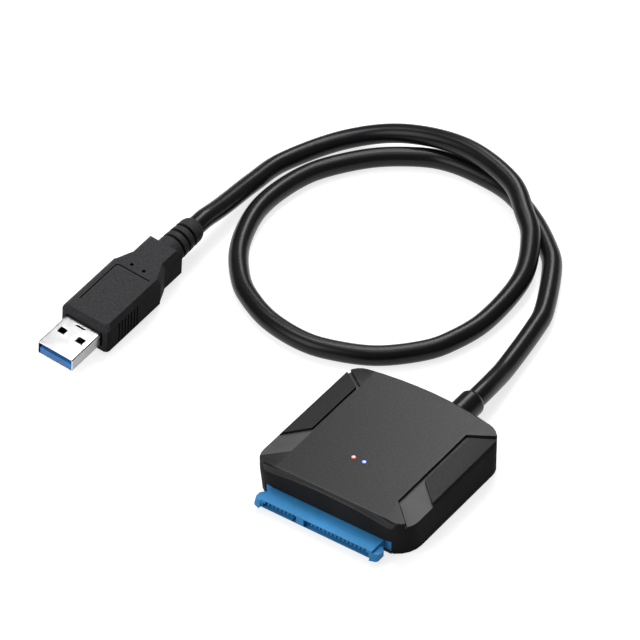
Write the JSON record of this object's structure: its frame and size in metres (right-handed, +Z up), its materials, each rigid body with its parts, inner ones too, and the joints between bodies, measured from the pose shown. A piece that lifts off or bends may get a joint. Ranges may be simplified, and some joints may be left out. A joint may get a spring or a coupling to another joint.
{
  "type": "usb to sata adapter",
  "caption": "Flat square adapter housing with a blue keyed drive receptacle at the front and a power jack at the back, on a cable that ends in a USB-A plug.",
  "frame": {"origin": "middle of the housing's underside, on the surface that it stands on", "axes": "+Z up, +Y from the drive receptacle toward the cable and the power jack, +X to the right seen from the receptacle's side"},
  "size_m": [0.1311, 0.1556, 0.0129],
  "materials": {
    "case_black": "satin, finely textured",
    "receptacle_blue": "smooth satin",
    "contact_gold": "gold plated",
    "board_green": "solder mask",
    "chip_black": "matte moulding compound",
    "tin_metal": "tin plated",
    "ceramic_tan": "fired ceramic",
    "light_red": "clear, tinted",
    "light_blue": "clear, tinted",
    "jack_black": "satin",
    "cable_black": "satin jacket",
    "plug_steel": "bright nickel plated",
    "plug_blue": "smooth",
    "grip_black": "finely textured moulding",
    "wire_red": "smooth",
    "wire_white": "smooth"
  },
  "bodies": {
    "root": {"top_cover": "case_black", "bottom_cover": "case_black", "circuit_board": "board_green", "bridge_chip": "chip_black", "memory_chip": "chip_black", "voltage_regulator": "chip_black", "crystal": "tin_metal", "power_inductor": "chip_black", "ceramic_capacitor_1": "ceramic_tan", "ceramic_capacitor_2": "ceramic_tan", "electrolytic_capacitor": "tin_metal", "lamp_red": "light_red", "lamp_blue": "light_blue", "light_pipe_red": "light_red", "light_pipe_blue": "light_blue", "sata_receptacle": "receptacle_blue", "signal_contact_1": "contact_gold", "signal_contact_2": "contact_gold", "signal_contact_3": "contact_gold", "signal_contact_4": "contact_gold", "signal_contact_5": "contact_gold", "signal_contact_6": "contact_gold", "signal_contact_7": "contact_gold", "power_contact_1": "contact_gold", "power_contact_2": "contact_gold", "power_contact_3": "contact_gold", "power_contact_4": "contact_gold", "power_contact_5": "contact_gold", "power_contact_6": "contact_gold", "power_contact_7": "contact_gold", "power_contact_8": "contact_gold", "power_contact_9": "contact_gold", "power_contact_10": "contact_gold", "power_contact_11": "contact_gold", "power_contact_12": "contact_gold", "power_contact_13": "contact_gold", "power_contact_14": "contact_gold", "power_contact_15": "contact_gold", "dc_jack_body": "jack_black", "dc_jack_pin": "tin_metal", "dc_jack_spring": "tin_metal", "cable_gland": "cable_black", "cable": "cable_black", "wire_power": "wire_red", "wire_data": "wire_white", "wire_ground": "case_black", "wire_superspeed": "wire_white", "usb_grip": "grip_black", "usb_shell": "plug_steel", "usb_insulator": "plug_blue", "usb_contact_1": "contact_gold", "usb_contact_2": "contact_gold", "usb_contact_3": "contact_gold", "usb_contact_4": "contact_gold", "superspeed_contact_1": "contact_gold", "superspeed_contact_2": "contact_gold", "superspeed_contact_3": "contact_gold", "superspeed_contact_4": "contact_gold", "superspeed_contact_5": "contact_gold"}
  },
  "joints": []
}
